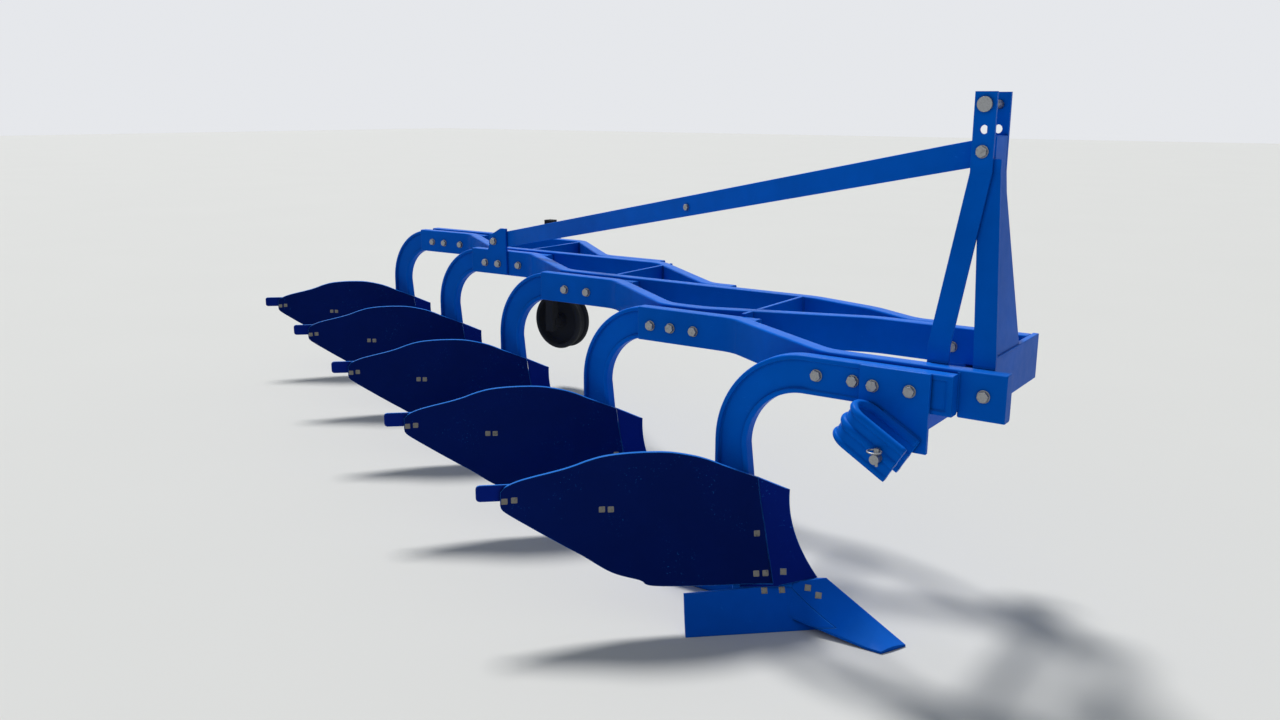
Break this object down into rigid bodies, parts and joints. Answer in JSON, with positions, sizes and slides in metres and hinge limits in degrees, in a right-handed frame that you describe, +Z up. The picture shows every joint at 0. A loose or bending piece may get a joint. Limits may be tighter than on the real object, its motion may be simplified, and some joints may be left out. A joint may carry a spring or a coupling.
{
  "type": "plough",
  "caption": "Tractor-mounted mouldboard plough: cranked frame bars carry hooked legs with curved mouldboards, shares and points; hitch mast, link pins and a height-adjustable depth wheel.",
  "frame": {"origin": "on the ground under the middle of the plough's bounding box", "axes": "+X forward in the direction of travel, +Y towards the unploughed land side (the plough's left), +Z up"},
  "size_m": [4.8021, 2.6703, 1.65],
  "materials": {
    "blue_paint": "gloss",
    "navy_paint": "gloss",
    "share_paint": "gloss",
    "zinc_steel": "zinc plated",
    "black_paint": "satin",
    "wheel_iron": "painted black"
  },
  "bodies": {
    "plough": {"frame_bar_1": "blue_paint", "frame_bar_2": "blue_paint", "frame_bar_3": "blue_paint", "frame_bar_4": "blue_paint", "frame_bar_5": "blue_paint", "cross_ties": "blue_paint", "front_cross_plate": "blue_paint", "leg_1": "blue_paint", "leg_2": "blue_paint", "leg_3": "blue_paint", "leg_4": "blue_paint", "leg_5": "blue_paint", "frogs": "blue_paint", "landsides": "blue_paint", "board_braces": "blue_paint", "tail_pieces": "blue_paint", "hitch_plate_right": "blue_paint", "hitch_plate_left": "blue_paint", "hitch_cross_tube": "blue_paint", "hitch_clevis_right": "blue_paint", "hitch_clevis_left": "blue_paint", "mast_plate_right": "blue_paint", "mast_plate_left": "blue_paint", "mast_front_leg": "blue_paint", "mast_centre_plate": "blue_paint", "stay_bar": "blue_paint", "stay_bracket": "blue_paint", "stay_spacers": "blue_paint", "mouldboard_1": "navy_paint", "mouldboard_2": "navy_paint", "mouldboard_3": "navy_paint", "mouldboard_4": "navy_paint", "mouldboard_5": "navy_paint", "shin_1": "navy_paint", "shin_2": "navy_paint", "shin_3": "navy_paint", "shin_4": "navy_paint", "shin_5": "navy_paint", "share_1": "share_paint", "share_2": "share_paint", "share_3": "share_paint", "share_4": "share_paint", "share_5": "share_paint", "bar_point_1": "share_paint", "bar_point_2": "share_paint", "bar_point_3": "share_paint", "bar_point_4": "share_paint", "bar_point_5": "share_paint", "hitch_pin_right": "zinc_steel", "hitch_pin_left": "zinc_steel", "lynch_pins": "zinc_steel", "top_link_pin": "zinc_steel", "frame_bolts": "zinc_steel", "frame_nuts": "zinc_steel", "plough_bolts": "zinc_steel", "post_clamp": "black_paint"},
    "wheel_post": {"wheel_post": "black_paint", "wheel_cap": "black_paint"},
    "depth_wheel": {"depth_wheel": "wheel_iron"},
    "clamp_screw": {"clamp_screw": "black_paint"}
  },
  "joints": [
    {"name": "post_slide", "type": "slide", "parent": "plough", "child": "wheel_post", "axis": [0, 0, 1], "range_m": [-0.08, 0.15]},
    {"name": "wheel_spin", "type": "hinge", "parent": "wheel_post", "child": "depth_wheel", "pos_m": [-0.74676, 1.26782, 0.39], "axis": [0, 1, 0], "continuous": true},
    {"name": "clamp_turn", "type": "hinge", "parent": "plough", "child": "clamp_screw", "pos_m": [-0.74676, 1.25082, 0.825], "axis": [0, 1, 0], "range_deg": [0, 270]}
  ]
}
